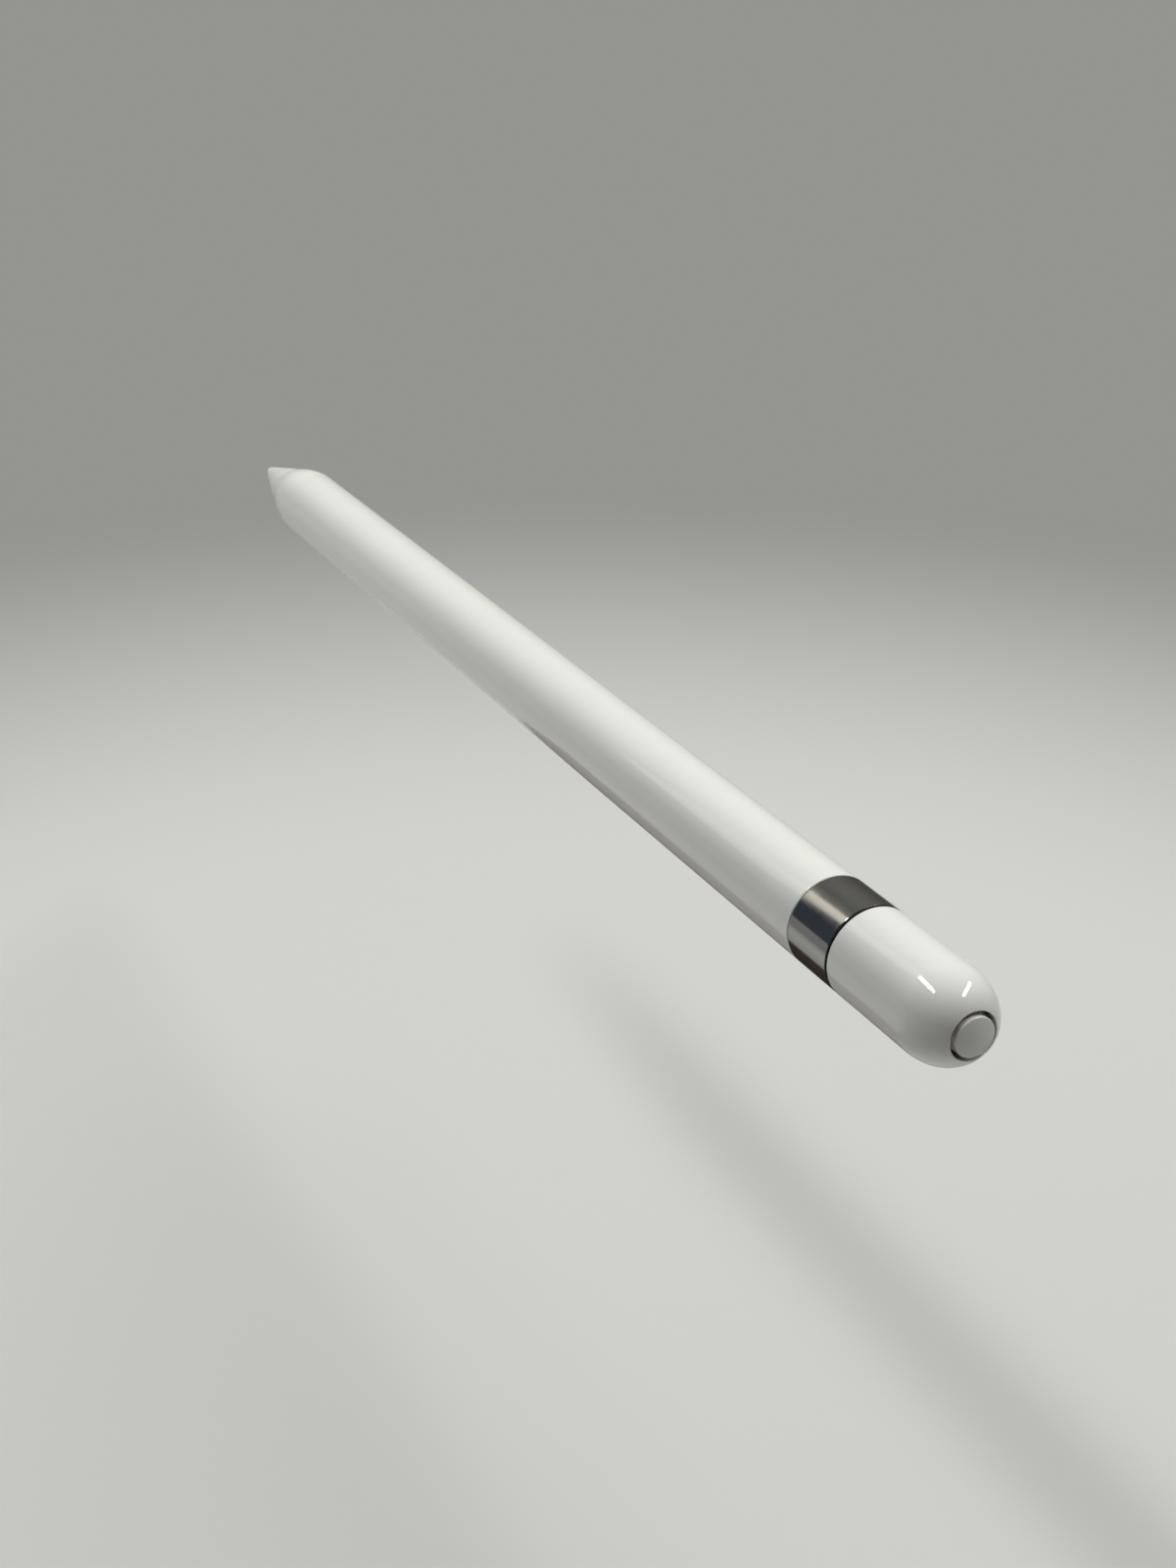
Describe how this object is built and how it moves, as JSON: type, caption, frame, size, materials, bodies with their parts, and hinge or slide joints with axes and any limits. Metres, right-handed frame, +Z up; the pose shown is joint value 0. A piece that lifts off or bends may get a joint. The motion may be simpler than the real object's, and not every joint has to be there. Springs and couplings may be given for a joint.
{
  "type": "digital stylus",
  "caption": "Round white digital stylus with a tapered screw-on nib, a polished steel band, a flat charging plug and a magnetic pull-off cap with a domed end.",
  "frame": {"origin": "on the surface that the stylus lies on, below the middle of its length", "axes": "+X along the stylus from the nib to the cap, +Y across it, +Z up"},
  "size_m": [0.1756, 0.0088, 0.0089],
  "materials": {
    "white_gloss": "gloss",
    "white_satin": "satin",
    "polished_steel": "polished",
    "plain_steel": "satin",
    "nickel": "satin",
    "brass": "satin",
    "gold_plate": "polished",
    "aluminium": "satin",
    "dark_board": "satin",
    "black_resin": "matte",
    "amber_film": "satin",
    "grey_resin": "satin",
    "grey_foam": "matte",
    "ceramic": "satin"
  },
  "bodies": {
    "barrel": {"barrel_tube": "white_gloss", "band": "polished_steel", "neck_sleeve": "plain_steel", "nose_bush": "grey_resin", "tilt_ring": "brass", "stem_spring": "plain_steel", "force_sensor": "ceramic", "sensor_holder": "grey_resin", "sensor_ribbon": "amber_film", "chassis": "plain_steel", "balance_weight": "plain_steel", "main_board": "dark_board", "upper_board": "dark_board", "fold_ribbon": "amber_film", "front_board_connector": "black_resin", "rear_board_connector": "black_resin", "power_chip": "black_resin", "clock_crystal": "nickel", "memory_chip": "black_resin", "processor_chip": "black_resin", "radio_chip": "nickel", "charge_chip": "black_resin", "boost_coil": "grey_resin", "motion_sensor": "black_resin", "antenna": "amber_film", "antenna_clip": "brass", "cell": "aluminium", "cell_board": "dark_board", "cell_tab_positive": "nickel", "cell_tab_negative": "nickel", "cell_ribbon": "amber_film", "cell_pad": "grey_foam", "charge_ribbon": "amber_film", "rear_holder": "grey_resin", "pivot_pin": "plain_steel"},
    "stem": {"tip_stem": "nickel", "stem_circlip": "plain_steel"},
    "nib": {"nib_shell": "white_satin", "nib_insert": "brass"},
    "plug": {"plug_boot": "grey_resin", "plug_blade": "polished_steel", "contacts_upper": "gold_plate", "contacts_lower": "gold_plate"},
    "cap": {"cap_shell": "white_gloss", "cap_end_disc": "white_satin", "cap_magnet_1": "nickel", "cap_magnet_2": "nickel", "cap_magnet_3": "nickel", "cap_magnet_4": "nickel", "cap_magnet_5": "nickel", "cap_magnet_6": "nickel"}
  },
  "joints": [
    {"name": "tip_press", "type": "slide", "parent": "barrel", "child": "stem", "axis": [1, 0, 0], "range_m": [0, 0.0002], "stiffness_N_per_m": 2000},
    {"name": "nib_off", "type": "slide", "parent": "stem", "child": "nib", "axis": [-1, 0, 0], "range_m": [0, 0.012]},
    {"name": "plug_flex", "type": "hinge", "parent": "barrel", "child": "plug", "pos_m": [0.06735, 0, 0.00445], "axis": [0, 1, 0], "range_deg": [-3, 3], "stiffness_Nm_per_rad": 0.01},
    {"name": "cap_pull", "type": "slide", "parent": "barrel", "child": "cap", "axis": [1, 0, 0], "range_m": [0, 0.02]}
  ]
}
